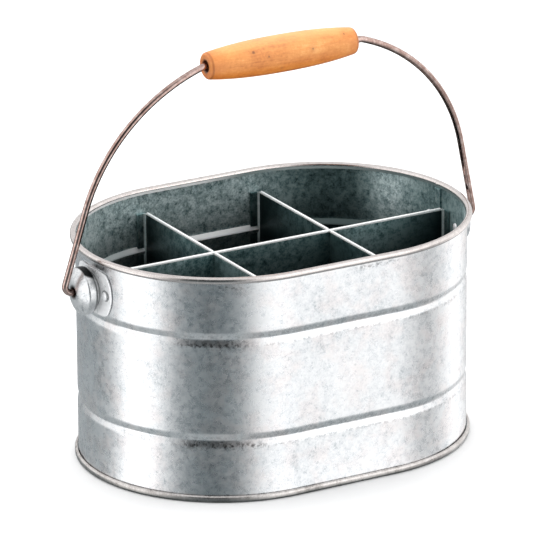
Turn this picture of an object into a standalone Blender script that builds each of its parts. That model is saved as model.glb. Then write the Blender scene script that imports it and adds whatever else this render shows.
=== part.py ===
"""Oval bottle carrier in galvanised sheet steel, with a wired rim, a seamed bottom, six
compartments and a wire bail that swings in two riveted ears and carries a turned wooden grip.

Metres, +Z up, X along the length, -Y at the front. The origin is on the floor, under the middle.
"""

import math

import bmesh
import bpy

# Body
BODY_LENGTH = 0.236
BODY_WIDTH = 0.170
BODY_HEIGHT = 0.1363
SHEET = 0.0007
CLEARANCE = 0.0003
OVERRUN = 0.002
END_STEPS = 18

# Grooves rolled into the wall
LOWER_GROOVE_HEIGHT = 0.0371
UPPER_GROOVE_DROP = 0.0382
GROOVE_WIDTH = 0.0080
GROOVE_DEPTH = 0.0012
GROOVE_PROFILE_SHARES = ((-1, 0), (-0.8, 0.12), (-0.14, 0.93), (0, 1), (0.14, 0.93), (0.8, 0.12), (1, 0))

# Rim, curled outwards round a wire
CURL_RADIUS = 0.0020
CURL_OFFSET = 0.0010
CURL_LEAD = 0.0040
CURL_END = math.radians(-105)
CURL_STEPS = 9

# Bottom seam
FLOOR_HEIGHT = 0.0052
FLOOR_BEND = 0.0015
SEAM_HEIGHT = 0.0040
SEAM_BEND = 0.0005
BODY_HOOK_REACH = 0.0011
BODY_HOOK_HEIGHT = 0.0027
BEND_STEPS = 2

# Lock seam down the inside of the wall
LOCK_SEAM_WIDTH = 0.0050
LOCK_SEAM_PROUD = 0.0012
LOCK_SEAM_SIDE = 0.0065
LOCK_SEAM_ROUNDING = 0.0004

# Dividers
DIVIDER_DROP = 0.0138
DIVIDER_SPACING = 0.077
DIVIDER_FLANGE = 0.0060
DIVIDER_BEND = 0.0012
SLOT_CLEARANCE = 0.0004

# Ears
EAR_DROP = 0.0218
EAR_SHEET = 0.0008
EAR_PLATE_RADIUS = 0.0200
EAR_PLATE_HEIGHT = 0.0265
EAR_DEPTH = 0.0126
EAR_CAP_RADIUS = 0.0139
EAR_CAP_THICKNESS = 0.0060
EAR_CAP_BEND = 0.0010
EAR_DOME_RISE = 0.0033
EAR_DOME_SHARES = ((0.5, 0.33),)
EAR_NECK_RADIUS = 0.0098
EAR_FOOT_FLARE = 0.0012
EAR_STEPS = 24

# Rivets
RIVET_SPACING = 0.0300
RIVET_RADIUS = 0.0015
RIVET_HEAD_RADIUS = 0.0027
RIVET_HEAD_HEIGHT = 0.0013
RIVET_STEPS = 12

# Bail
WIRE_RADIUS = 0.0020
EYE_CLEARANCE = 0.0009
HOOK_GAP = 0.0045
HOOK_DEPTH = 0.0078
HOOK_TIP = 0.0060
HOOK_TIP_BEND = 0.0025
HOOK_BEND = 0.0045
CROWN_HEIGHT = 0.1266
LEG_LEAN = math.radians(14.3)
SHOULDER_LEAN = math.radians(18.6)
SHOULDER_RADIUS = 0.147
CROWN_BEND = 0.0112
BAIL_LEAN = math.radians(6.3)

# Grip
GRIP_LENGTH = 0.097
GRIP_PLAY = 0.0035
GRIP_SHIFT = -0.0020
GRIP_RADIUS = 0.0110
GRIP_END_RADIUS = 0.0080
GRIP_END_ROUNDING = 0.0018
GRIP_BORE_CLEARANCE = 0.0005
GRIP_SWELL_SHARE = 2.4
GRIP_STEPS = 20
GRIP_PROFILE_STEPS = 8

WALL_RADIUS = BODY_WIDTH / 2
HALF_STRAIGHT = (BODY_LENGTH - BODY_WIDTH) / 2
FLOOR_TOP = FLOOR_HEIGHT + SHEET / 2
UPPER_GROOVE_HEIGHT = BODY_HEIGHT - UPPER_GROOVE_DROP
DIVIDER_HEIGHT = BODY_HEIGHT - DIVIDER_DROP
EAR_HEIGHT = BODY_HEIGHT - EAR_DROP
MERGE = 0.00001
FACET_SHARE = math.cos(math.pi / END_STEPS / 2)

collection = None
cutters = None


def new_collection(name):
    made = bpy.data.collections.new(name)
    bpy.context.scene.collection.children.link(made)
    return made


def finish(obj, colour, roughness, metallic):
    """Give an object its own material."""
    material = bpy.data.materials.new(obj.name + "_material")
    material.use_nodes = True
    shader = material.node_tree.nodes["Principled BSDF"]
    shader.inputs["Base Color"].default_value = (*colour, 1.0)
    shader.inputs["Roughness"].default_value = roughness
    shader.inputs["Metallic"].default_value = metallic
    obj.data.materials.append(material)


def galvanised(obj):
    finish(obj, (0.56, 0.59, 0.61), 0.38, 1.0)


def bright_wire(obj):
    finish(obj, (0.42, 0.35, 0.31), 0.30, 1.0)


def turned_wood(obj):
    finish(obj, (0.80, 0.42, 0.16), 0.48, 0.0)


def add_object(name, data, cutter=False):
    obj = bpy.data.objects.new(name, data)
    (cutters if cutter else collection).objects.link(obj)
    if cutter:
        obj.hide_render = True
        obj.display_type = "WIRE"
    return obj


def mesh_object(name, bm, cutter=False):
    mesh = bpy.data.meshes.new(name)
    bm.to_mesh(mesh)
    bm.free()
    return add_object(name, mesh, cutter)


def smooth(obj):
    obj.data.shade_smooth()
    obj.data.set_sharp_from_angle(angle=math.radians(35))


def thicken(obj, thickness):
    sheet = obj.modifiers.new("sheet", "SOLIDIFY")
    sheet.thickness = thickness
    sheet.offset = 0
    sheet.use_even_offset = True


def combine(obj, other, operation):
    step = obj.modifiers.new(operation.lower() + "_" + other.name, "BOOLEAN")
    step.operation = operation
    step.object = other


def arc(centre, radius, start, end, steps):
    """Points of an arc from one angle to another, both ends included."""
    turns = [start + (end - start) * k / steps for k in range(steps + 1)]
    return [(centre[0] + radius * math.cos(a), centre[1] + radius * math.sin(a)) for a in turns]


def filleted(corners, radii, steps):
    """A polyline through the corners, with each inner corner rounded to its radius, or to what
    the straight runs beside it leave room for."""
    runs = [math.dist(*pair) for pair in zip(corners, corners[1:])]
    bends = []
    for before, here, after, radius in zip(corners, corners[1:], corners[2:], radii):
        back = math.atan2(before[1] - here[1], before[0] - here[0])
        ahead = math.atan2(after[1] - here[1], after[0] - here[0])
        opening = (ahead - back + math.pi) % (2 * math.pi) - math.pi
        bends.append((back, opening, radius / abs(math.tan(opening / 2))))
    taken = [0] + [bend[2] for bend in bends] + [0]
    path = [corners[0]]
    for k, (back, opening, length) in enumerate(bends, 1):
        room = min(runs[k - 1] / (taken[k - 1] + length), runs[k] / (length + taken[k + 1]), 1)
        radius = radii[k - 1] * room
        reach = radius / abs(math.sin(opening / 2))
        middle = back + opening / 2
        centre = (
            corners[k][0] + reach * math.cos(middle),
            corners[k][1] + reach * math.sin(middle),
        )
        start = back - math.copysign(math.pi / 2, opening)
        turn = opening - math.copysign(math.pi, opening)
        path += arc(centre, radius, start, start + turn, steps[k - 1])
    return path + [corners[-1]]


def oval_path(offset):
    """The plan outline of the body, moved outwards by an offset, from its front left corner."""
    radius = WALL_RADIUS + offset
    right = arc((HALF_STRAIGHT, 0), radius, -math.pi / 2, math.pi / 2, END_STEPS)
    left = arc((-HALF_STRAIGHT, 0), radius, math.pi / 2, 3 * math.pi / 2, END_STEPS)
    return right + left


def sweep_round_oval(profile, fill_inside):
    """Sweep a profile of (offset, height) points round the body's plan outline."""
    bm = bmesh.new()
    start = [bm.verts.new((-HALF_STRAIGHT, -WALL_RADIUS - d, z)) for d, z in profile]
    front = [bm.edges.new(pair) for pair in zip(start, start[1:])]

    def straight(geom, along):
        run = bmesh.ops.extrude_edge_only(bm, edges=geom)["geom"]
        verts = [item for item in run if isinstance(item, bmesh.types.BMVert)]
        bmesh.ops.translate(bm, verts=verts, vec=(along, 0, 0))
        return [
            item
            for item in run
            if isinstance(item, bmesh.types.BMEdge) and all(v in verts for v in item.verts)
        ]

    def round_end(geom, centre):
        verts = list({v for edge in geom for v in edge.verts})
        turned = bmesh.ops.spin(
            bm,
            geom=verts + geom,
            cent=(centre, 0, 0),
            axis=(0, 0, 1),
            angle=math.pi,
            steps=END_STEPS,
        )["geom_last"]
        return [item for item in turned if isinstance(item, bmesh.types.BMEdge)]

    right = round_end(straight(front, 2 * HALF_STRAIGHT), HALF_STRAIGHT)
    round_end(straight(right, -2 * HALF_STRAIGHT), -HALF_STRAIGHT)
    bmesh.ops.remove_doubles(bm, verts=bm.verts, dist=MERGE)
    if fill_inside:
        height = profile[-1][1]
        edge_loop = [
            edge
            for edge in bm.edges
            if edge.is_boundary and all(abs(v.co.z - height) < MERGE for v in edge.verts)
        ]
        bmesh.ops.contextual_create(bm, geom=edge_loop)
    bmesh.ops.recalc_face_normals(bm, faces=bm.faces)
    return bm


def turned_mesh(name, profile, steps, closed, cutter=False):
    """A profile of (radius, height) points turned round the local Z axis."""
    bm = bmesh.new()
    verts = [bm.verts.new((r, 0, z)) for r, z in profile]
    for pair in zip(verts, verts[1:] + verts[:1] if closed else verts[1:]):
        bm.edges.new(pair)
    obj = mesh_object(name, bm, cutter)
    screw = obj.modifiers.new("turning", "SCREW")
    screw.steps = steps
    screw.render_steps = steps
    screw.use_merge_vertices = True
    screw.merge_threshold = MERGE
    return obj


def cylinder(name, radius, depth, steps):
    bm = bmesh.new()
    bmesh.ops.create_cone(
        bm, cap_ends=True, segments=steps, radius1=radius, radius2=radius, depth=depth
    )
    return mesh_object(name, bm, cutter=True)


def box(name, size):
    bm = bmesh.new()
    bmesh.ops.create_cube(bm, size=1)
    bmesh.ops.scale(bm, vec=size, verts=bm.verts)
    return mesh_object(name, bm, cutter=True)


def tube(name, points, radius, cyclic, sides_step):
    """A wire of round section along points."""
    curve = bpy.data.curves.new(name, "CURVE")
    curve.dimensions = "3D"
    curve.bevel_depth = radius
    curve.bevel_resolution = sides_step
    curve.use_fill_caps = True
    spline = curve.splines.new("POLY")
    spline.points.add(len(points) - 1)
    for point, place in zip(spline.points, points):
        point.co = (*place, 1)
    spline.use_cyclic_u = cyclic
    return add_object(name, curve)


def groove(height):
    """Profile points of a groove rolled inwards, from its lower edge to its upper one."""
    return [
        (-SHEET / 2 - GROOVE_DEPTH * deep, height + share * GROOVE_WIDTH / 2)
        for share, deep in GROOVE_PROFILE_SHARES
    ]


def wall_profile():
    """Middle line of the wall's sheet, from its bottom hook to the end of its curl."""
    bottom = SHEET + CLEARANCE + SHEET / 2
    hook = BODY_HOOK_REACH - SHEET / 2
    low = bottom + SEAM_BEND
    outer_bend = arc((hook - SEAM_BEND, low), SEAM_BEND, 0, -math.pi / 2, BEND_STEPS)
    inner_bend = arc(
        (SEAM_BEND - SHEET / 2, low), SEAM_BEND, -math.pi / 2, -math.pi, BEND_STEPS
    )
    curl_height = BODY_HEIGHT - CURL_RADIUS
    curl = arc(
        (CURL_OFFSET, curl_height), CURL_RADIUS - SHEET / 2, math.pi, CURL_END, CURL_STEPS
    )
    return (
        [(hook, BODY_HOOK_HEIGHT)]
        + outer_bend
        + inner_bend
        + groove(LOWER_GROOVE_HEIGHT)
        + groove(UPPER_GROOVE_HEIGHT)
        + [(-SHEET / 2, curl_height - CURL_LEAD)]
        + curl
    )


def make_wall(rivet_holes):
    wall = mesh_object("wall_shell", sweep_round_oval(wall_profile(), fill_inside=False))
    thicken(wall, SHEET)
    combine(wall, make_lock_seam(), "UNION")
    for hole in rivet_holes:
        combine(wall, hole, "DIFFERENCE")
    smooth(wall)
    galvanised(wall)


def make_lock_seam():
    """The folded seam where the wall's sheet is joined, standing proud of its inner face."""
    low = FLOOR_TOP + CLEARANCE
    high = BODY_HEIGHT - 2 * CURL_RADIUS - CURL_LEAD / 2
    depth = LOCK_SEAM_PROUD + SHEET / 2
    line = groove(LOWER_GROOVE_HEIGHT) + groove(UPPER_GROOVE_HEIGHT)
    line = [(-SHEET / 2, low)] + line + [(-SHEET / 2, high)]
    bm = bmesh.new()
    verts = [
        bm.verts.new((WALL_RADIUS + d - depth / 2, -LOCK_SEAM_WIDTH / 2, z)) for d, z in line
    ]
    edges = [bm.edges.new(pair) for pair in zip(verts, verts[1:])]
    raised = bmesh.ops.extrude_edge_only(bm, edges=edges)["geom"]
    moved = [item for item in raised if isinstance(item, bmesh.types.BMVert)]
    bmesh.ops.translate(bm, verts=moved, vec=(0, LOCK_SEAM_WIDTH, 0))
    seam = mesh_object("lock_seam_fold", bm, cutter=True)
    thicken(seam, depth)
    rounding = seam.modifiers.new("rounding", "BEVEL")
    rounding.width = LOCK_SEAM_ROUNDING
    rounding.segments = 2
    rounding.angle_limit = math.radians(60)
    seam.location = (HALF_STRAIGHT, 0, 0)
    seam.rotation_euler = (0, 0, math.asin(LOCK_SEAM_SIDE / WALL_RADIUS))
    return seam


def make_rim_wire():
    height = BODY_HEIGHT - CURL_RADIUS
    points = [(x, y, height) for x, y in oval_path(CURL_OFFSET)]
    rim = tube("rim_wire", points, CURL_RADIUS - SHEET - CLEARANCE, True, 2)
    galvanised(rim)


def pan_profile():
    """Middle line of the bottom sheet, from the top of its seam inwards to the floor."""
    inner = -SHEET - CLEARANCE - SHEET / 2
    outer = BODY_HOOK_REACH + CLEARANCE + SHEET / 2
    top = SEAM_HEIGHT - SHEET / 2
    low = SHEET / 2 + SEAM_BEND
    top_bend = arc((outer - SEAM_BEND, top - SEAM_BEND), SEAM_BEND, math.pi / 2, 0, BEND_STEPS)
    low_bend = arc((outer - SEAM_BEND, low), SEAM_BEND, 0, -math.pi / 2, BEND_STEPS)
    inner_bend = arc((inner + SEAM_BEND, low), SEAM_BEND, -math.pi / 2, -math.pi, BEND_STEPS)
    floor_bend = arc(
        (inner - FLOOR_BEND, FLOOR_HEIGHT - FLOOR_BEND), FLOOR_BEND, 0, math.pi / 2, BEND_STEPS
    )
    return [(SHEET / 2 + CLEARANCE, top)] + top_bend + low_bend + inner_bend + floor_bend


def make_pan():
    pan = mesh_object("base_pan", sweep_round_oval(pan_profile(), fill_inside=True))
    thicken(pan, SHEET)
    smooth(pan)
    galvanised(pan)


def seat_radius():
    """Radius of the middle line of a flange that lies against the flats of the wall's facets."""
    return WALL_RADIUS * FACET_SHARE - SHEET - CLEARANCE - SHEET / 2


def seat_y(x):
    beyond = max(0, abs(x) - HALF_STRAIGHT)
    return math.sqrt(seat_radius() ** 2 - beyond**2)


def seat_x(y):
    return HALF_STRAIGHT + math.sqrt(seat_radius() ** 2 - y**2)


def make_divider(name, plan, slots, bead_cutters):
    """An upright sheet along a plan line, folded at its ends, with slots and bead notches."""
    low = FLOOR_TOP + CLEARANCE
    bm = bmesh.new()
    line = [bm.verts.new((x, y, low)) for x, y in plan]
    edges = [bm.edges.new(pair) for pair in zip(line, line[1:])]
    raised = bmesh.ops.extrude_edge_only(bm, edges=edges)["geom"]
    verts = [item for item in raised if isinstance(item, bmesh.types.BMVert)]
    bmesh.ops.translate(bm, verts=verts, vec=(0, 0, DIVIDER_HEIGHT - low))
    divider = mesh_object(name, bm)
    folds = divider.modifiers.new("folds", "BEVEL")
    folds.width = DIVIDER_BEND
    folds.segments = 3
    thicken(divider, SHEET)
    for cutter in slots + bead_cutters:
        combine(divider, cutter, "DIFFERENCE")
    galvanised(divider)


def make_slot(name, x, from_top):
    """A cutter for one of the slots where two dividers cross, open at the top or the bottom."""
    low = FLOOR_TOP + CLEARANCE
    middle = (low + DIVIDER_HEIGHT) / 2
    start = middle - CLEARANCE / 2 if from_top else low - OVERRUN
    end = DIVIDER_HEIGHT + OVERRUN if from_top else middle + CLEARANCE / 2
    width = SHEET + 2 * SLOT_CLEARANCE
    slot = box(name, (width, width, end - start))
    slot.location = (x, 0, (start + end) / 2)
    return slot


def make_bead_cutter(name, height):
    """A ring round the wall whose inner side clears the dividers from a groove's bead."""
    peak = GROOVE_DEPTH + SHEET / 2 + 2 * CLEARANCE
    edge = SHEET / 2 + CLEARANCE
    middle = ((GROOVE_WIDTH / 2) ** 2 + edge**2 - peak**2) / (2 * (peak - edge))
    points = [(x, y, height) for x, y in oval_path(middle - SHEET / 2)]
    curve = tube(name + "_line", points, middle + peak, True, 3)
    mesh = bpy.data.meshes.new_from_object(
        curve.evaluated_get(bpy.context.evaluated_depsgraph_get())
    )
    bpy.data.objects.remove(curve)
    return add_object(name, mesh, cutter=True)


def make_dividers():
    beads = [
        make_bead_cutter("lower_bead_clearance", LOWER_GROOVE_HEIGHT),
        make_bead_cutter("upper_bead_clearance", UPPER_GROOVE_HEIGHT),
    ]
    places = {"left": -DIVIDER_SPACING / 2, "right": DIVIDER_SPACING / 2}
    for side, x in places.items():
        plan = [
            (x - DIVIDER_FLANGE, seat_y(x - DIVIDER_FLANGE)),
            (x, seat_y(x)),
            (x, -seat_y(x)),
            (x + DIVIDER_FLANGE, -seat_y(x + DIVIDER_FLANGE)),
        ]
        slot = make_slot("upper_slot_" + side, x, from_top=True)
        make_divider("cross_divider_" + side, plan, [slot], beads)
    plan = [
        (-seat_x(DIVIDER_FLANGE), DIVIDER_FLANGE),
        (-seat_x(0), 0),
        (seat_x(0), 0),
        (seat_x(DIVIDER_FLANGE), -DIVIDER_FLANGE),
    ]
    slots = [make_slot("lower_slot_" + side, x, from_top=False) for side, x in places.items()]
    make_divider("long_divider", plan, slots, beads)


def face_out(obj, side, turn=0.0):
    """Turn an object so that its local Z axis points out of one end of the body."""
    obj.rotation_euler = (0, side * math.pi / 2, side * turn)


def neck_profile():
    """Middle line of an ear's pressing, from its foot round the cap and its dome to the eye."""
    radius = EAR_NECK_RADIUS - EAR_SHEET / 2
    foot = CLEARANCE + EAR_SHEET / 2
    top = EAR_DEPTH - EAR_SHEET / 2
    eye = WIRE_RADIUS + EYE_CLEARANCE
    corner = EAR_CAP_RADIUS - EAR_SHEET / 2 - EAR_CAP_BEND
    front = top - EAR_DOME_RISE
    under = front - EAR_CAP_THICKNESS + EAR_SHEET
    back_bend = arc((corner, under + EAR_CAP_BEND), EAR_CAP_BEND, -math.pi / 2, 0, 2)
    front_bend = arc((corner, front - EAR_CAP_BEND), EAR_CAP_BEND, 0, math.pi / 3, 2)
    dome = [
        (eye + (corner - eye) * out, top - EAR_DOME_RISE * drop) for out, drop in EAR_DOME_SHARES
    ]
    return [
        (radius + EAR_FOOT_FLARE, foot),
        (radius, foot + EAR_FOOT_FLARE),
        (radius, under - EAR_CAP_BEND / 2),
        (radius + EAR_CAP_BEND / 2, under),
        *back_bend,
        *front_bend,
        *dome,
        (eye, top),
    ]


def make_ear(name, side, rivet_holes):
    """A pressed ear: a plate bent to the wall, a neck, and a drum-shaped domed cap with an eye."""
    place = (side * BODY_LENGTH / 2, 0, EAR_HEIGHT)
    inner = WALL_RADIUS + CLEARANCE
    half = EAR_PLATE_HEIGHT / 2
    band = [
        (inner + EAR_SHEET, half),
        (inner + EAR_SHEET, -half),
        (inner, -half),
        (inner, half),
    ]
    ear = turned_mesh(name, band, 6 * END_STEPS, closed=True)
    ear.location = (side * HALF_STRAIGHT, 0, EAR_HEIGHT)

    outline = cylinder(name + "_outline", EAR_PLATE_RADIUS, EAR_PLATE_RADIUS, 2 * EAR_STEPS)
    opening = cylinder(name + "_opening", EAR_NECK_RADIUS - EAR_SHEET, EAR_DEPTH, EAR_STEPS)
    neck = turned_mesh(name + "_neck", neck_profile(), EAR_STEPS, closed=False, cutter=True)
    thicken(neck, EAR_SHEET)
    for obj in (outline, opening, neck):
        obj.location = place
        face_out(obj, side)
    combine(ear, outline, "INTERSECT")
    combine(ear, opening, "DIFFERENCE")
    combine(ear, neck, "UNION")
    for hole in rivet_holes:
        combine(ear, hole, "DIFFERENCE")
    galvanised(ear)


def rivet_place(side, row):
    """Point of the wall's outer face under a rivet, and the wall's turn there."""
    turn = math.asin(row * RIVET_SPACING / 2 / WALL_RADIUS)
    x = side * (HALF_STRAIGHT + WALL_RADIUS * math.cos(turn))
    return (x, WALL_RADIUS * math.sin(turn), EAR_HEIGHT), turn


def rivet_profile():
    """A rivet's outline from the crown of its outer head down to its inner head."""
    outer = 2 * CLEARANCE + EAR_SHEET
    inner = -SHEET - CLEARANCE
    quarter = [k * math.pi / 2 / 4 for k in range(5)]
    head = [
        (RIVET_HEAD_RADIUS * math.sin(a), outer + RIVET_HEAD_HEIGHT * math.cos(a))
        for a in quarter
    ]
    tail = [
        (RIVET_HEAD_RADIUS * math.cos(a), inner - RIVET_HEAD_HEIGHT * math.sin(a))
        for a in quarter
    ]
    head[0] = (0, outer + RIVET_HEAD_HEIGHT)
    tail[-1] = (0, inner - RIVET_HEAD_HEIGHT)
    return head + [(RIVET_RADIUS, outer), (RIVET_RADIUS, inner)] + tail


def make_rivet(name, side, row):
    """A rivet through ear and wall. Its cutter is returned, for the holes."""
    place, turn = rivet_place(side, row)
    rivet = turned_mesh(name, rivet_profile(), RIVET_STEPS, closed=False)
    reach = EAR_SHEET + CLEARANCE + SHEET + OVERRUN
    hole = cylinder(name + "_hole", RIVET_RADIUS + CLEARANCE, 2 * reach, RIVET_STEPS)
    for obj in (rivet, hole):
        obj.location = place
        face_out(obj, side, turn)
    smooth(rivet)
    galvanised(rivet)
    return hole


def bail_path():
    """Middle line of the bail's wire in its own plane, from one hooked tip to the other."""
    end = BODY_LENGTH / 2
    hook = end + EAR_DEPTH + HOOK_GAP + WIRE_RADIUS
    inside = end + EAR_DEPTH - HOOK_DEPTH
    crown = (GRIP_LENGTH / 2 + GRIP_PLAY, CROWN_HEIGHT)
    lean = math.tan(LEG_LEAN)
    drop = math.tan(SHOULDER_LEAN)
    shoulder_x = (hook - lean * (CROWN_HEIGHT + drop * crown[0])) / (1 - lean * drop)
    shoulder = (shoulder_x, CROWN_HEIGHT - drop * (shoulder_x - crown[0]))
    corners = [(inside, HOOK_TIP), (inside, 0), (hook, 0), shoulder, crown, (0, CROWN_HEIGHT)]
    radii = [HOOK_TIP_BEND, HOOK_BEND, SHOULDER_RADIUS, CROWN_BEND]
    half = filleted(corners, radii, [4, 5, 10, 4])
    return half[:-1] + [(-x, h) for x, h in reversed(half[:-1])]


def make_bail():
    pivot = add_object("bail_pivot", None)
    pivot.location = (0, 0, EAR_HEIGHT)
    pivot.rotation_euler = (BAIL_LEAN, 0, 0)
    wire = tube("bail_wire", [(x, 0, h) for x, h in bail_path()], WIRE_RADIUS, False, 3)
    wire.parent = pivot
    bright_wire(wire)
    return pivot


def grip_profile():
    """Closed outline of half the grip's section, down its barrel and back up its bore."""
    half = GRIP_LENGTH / 2
    rounding = GRIP_END_ROUNDING
    bore = WIRE_RADIUS + GRIP_BORE_CLEARANCE
    end_roll = arc(
        (GRIP_END_RADIUS - rounding, half - rounding), rounding, math.pi / 2, math.pi / 6, 2
    )
    reach = half - rounding
    shares = [1 - 2 * k / GRIP_PROFILE_STEPS for k in range(GRIP_PROFILE_STEPS + 1)]
    swell = GRIP_RADIUS - GRIP_END_RADIUS
    barrel = [
        (GRIP_RADIUS - swell * abs(share) ** GRIP_SWELL_SHARE, reach * share) for share in shares
    ]
    upper = [(bore, half)] + end_roll
    lower = [(r, -z) for r, z in reversed(upper)]
    return upper + barrel + lower


def make_grip(pivot):
    axis = add_object("grip_axis", None)
    axis.parent = pivot
    axis.location = (GRIP_SHIFT, 0, CROWN_HEIGHT)
    grip = turned_mesh("grip", grip_profile(), GRIP_STEPS, closed=True)
    grip.parent = axis
    grip.rotation_euler = (0, math.pi / 2, 0)
    smooth(grip)
    turned_wood(grip)


def build():
    global collection, cutters
    for obj in list(bpy.data.objects):
        bpy.data.objects.remove(obj)
    collection = new_collection("bottle_carrier")
    cutters = new_collection("cutters")

    holes = {}
    for end, side in (("left", -1), ("right", 1)):
        holes[end] = [
            make_rivet("rivet_" + end + "_" + row_name, side, row)
            for row_name, row in (("front", -1), ("back", 1))
        ]
        make_ear("ear_" + end, side, holes[end])
    make_wall(holes["left"] + holes["right"])
    make_rim_wire()
    make_pan()
    make_dividers()
    make_grip(make_bail())


build()
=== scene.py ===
"""Looks of the oval galvanised bottle carrier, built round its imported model."""

import math

import bmesh
import bpy
from mathutils import Matrix, Vector


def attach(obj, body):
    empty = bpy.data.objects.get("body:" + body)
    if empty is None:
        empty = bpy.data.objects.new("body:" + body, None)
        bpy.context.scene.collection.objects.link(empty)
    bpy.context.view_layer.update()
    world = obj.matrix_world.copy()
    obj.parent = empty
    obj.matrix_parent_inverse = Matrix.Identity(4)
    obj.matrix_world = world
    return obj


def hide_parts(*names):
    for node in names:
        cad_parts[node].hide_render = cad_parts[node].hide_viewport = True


# Sizes in metres, and angles. Most are those of the solids.

# Wall, grooves, curl and lock seam
BODY_LENGTH = 0.236
BODY_WIDTH = 0.170
BODY_HEIGHT = 0.1363
SHEET = 0.0007
GAP = 0.0003
LOWER_GROOVE = 0.0371
UPPER_GROOVE = 0.0981
GROOVE_WIDTH = 0.0080
GROOVE_DEPTH = 0.0012
CURL_RADIUS = 0.00198
CURL_OFFSET = 0.0010
CURL_LEAD = 0.0040
CURL_END = math.radians(-105)
# LIP_DEPTH and the BEAD_ heights bound the painted highlights inside
LIP_DEPTH = 0.0016
BEAD_BELOW = 0.0004
BEAD_ABOVE = GROOVE_WIDTH * 0.32
LOCK_WIDTH = 0.0050
LOCK_PROUD = 0.0012
LOCK_SIDE = 0.0065

# Bottom and its seam
FLOOR_HEIGHT = 0.0052
FLOOR_BEND = 0.0015
SEAM_HEIGHT = 0.0040
SEAM_BEND = 0.0005
HOOK_REACH = 0.0011
HOOK_HEIGHT = 0.0027

# Dividers and the hems along their tops
DIVIDER_HEIGHT = 0.1225
DIVIDER_SPACING = 0.077
DIVIDER_FLANGE = 0.0060
DIVIDER_BEND = 0.0018
SLOT_CLEARANCE = 0.0004
HEM_GAP = 0.0001
HEM_DEPTH = 0.0045
HEM_INSET = 0.0022
HEM_BRIGHT = 0.0007

# Ears and rivets
EAR_HEIGHT = 0.1145
EAR_SHEET = 0.0008
EAR_PLATE_RADIUS = 0.0200
EAR_PLATE_HALF = 0.01325
EAR_DEPTH = 0.0126
EAR_CAP_RADIUS = 0.0139
EAR_CAP_THICKNESS = 0.0060
EAR_CAP_BEND = 0.0010
EAR_DOME_RISE = 0.0033
EAR_NECK_RADIUS = 0.0098
EAR_FOOT_BEND = 0.0012
EAR_NECK_BEND = 0.0006
RIVET_SPACING = 0.0300
RIVET_HEAD_RADIUS = 0.0027
RIVET_HEAD_HEIGHT = 0.0013
RIVET_SHANK_RADIUS = 0.0015
EYE_RADIUS = 0.0029
EYE_BEND = 0.0008

# Bail and grip
WIRE_RADIUS = 0.00195
HOOK_GAP = 0.0045
HOOK_CENTRE = 0.0020
HOOK_DEPTH = 0.0078
HOOK_TIP = 0.0060
CROWN_HEIGHT = 0.1266
LEG_LEAN = math.radians(14.3)
SHOULDER_LEAN = math.radians(18.6)
BAIL_LEAN = math.radians(6.3)
BAIL_BENDS = (0.0025, 0.0045, 0.147, 0.0112)
GRIP_LENGTH = 0.097
GRIP_PLAY = 0.0035
GRIP_SHIFT = -0.0020
GRIP_RADIUS = 0.01092
GRIP_END_RADIUS = 0.0080
GRIP_BORE = 0.0025
GRIP_TAPER = 2.4
GRIP_ROUNDING = 0.0018
GRIP_MOUTH = 0.0010

WALL_RADIUS = BODY_WIDTH / 2
HALF_STRAIGHT = (BODY_LENGTH - BODY_WIDTH) / 2
LOCK_TURN = math.asin(LOCK_SIDE / WALL_RADIUS)

# Where parts of an ear lie, as distances from the body's middle
EAR_NECK_FOOT = BODY_LENGTH / 2 + 0.0018
EAR_FRONT = BODY_LENGTH / 2 + EAR_DEPTH - EAR_DOME_RISE
EAR_UNDER = EAR_FRONT - EAR_CAP_THICKNESS + EAR_SHEET

# Finish of the visible meshes
ARC_STEPS = 90
LINE_STEPS = 8
BEND_STEPS = 6
MERGE = 0.00001
DOME_FLATNESS = 0.6
DOME_TIP = 0.02
LOCK_ROUNDING = 0.0003
DIVIDER_ROUNDING = 0.00012
EAR_ROUNDING = 0.00018
SCORE_STEP = 0.0002
SCORE_DEPTH = 0.00022
CURL_PINCH = 0.0004
BEND_REACH = 0.0027

# Places in the wall's list of materials, and in a divider's
# BEAD, LIP, EDGE and BEND hold painted highlights, INSIDE painted shade
INSIDE, RIM, BEAD, LIP = 1, 2, 3, 4
EDGE, BEND = 1, 2

# Colours and marks
# Colour of the painted shade: low down inside, towards the wall on the dividers and under the bottom
# seam
PAINTED_SHADE_COLOUR = (0.012, 0.024, 0.026)
SCUFF_FADE = 0.012
WOOD_TONES = (
    (0.0, (0.50, 0.130, 0.022)),
    (0.40, (0.68, 0.240, 0.048)),
    (0.75, (0.77, 0.305, 0.073)),
    (1.0, (0.84, 0.390, 0.120)),
)
KNOTS = (
    ((-0.0220, -0.0078, 0.0072), 0.0010),
    ((-0.0130, -0.0102, 0.0040), 0.0007),
    ((-0.0040, -0.0100, -0.0046), 0.0006),
    ((0.0160, -0.0096, 0.0040), 0.0008),
    ((0.0390, -0.0050, 0.0076), 0.0008),
    ((0.0060, 0.0088, 0.0064), 0.0013),
    ((-0.0250, 0.0040, -0.0100), 0.0011),
    ((0.0220, 0.0060, -0.0088), 0.0009),
)

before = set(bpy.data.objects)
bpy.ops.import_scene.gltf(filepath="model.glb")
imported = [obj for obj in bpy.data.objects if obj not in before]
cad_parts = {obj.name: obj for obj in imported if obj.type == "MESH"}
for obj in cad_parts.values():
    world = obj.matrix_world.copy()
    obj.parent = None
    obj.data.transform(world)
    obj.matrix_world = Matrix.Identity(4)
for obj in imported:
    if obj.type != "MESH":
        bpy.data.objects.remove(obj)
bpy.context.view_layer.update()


# Mesh helpers


def arc(centre, radius, start, end, steps):
    """Points along an arc from the angle start to the angle end."""
    turns = [start + (end - start) * k / steps for k in range(steps + 1)]
    return [(centre[0] + radius * math.cos(a), centre[1] + radius * math.sin(a)) for a in turns]


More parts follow.
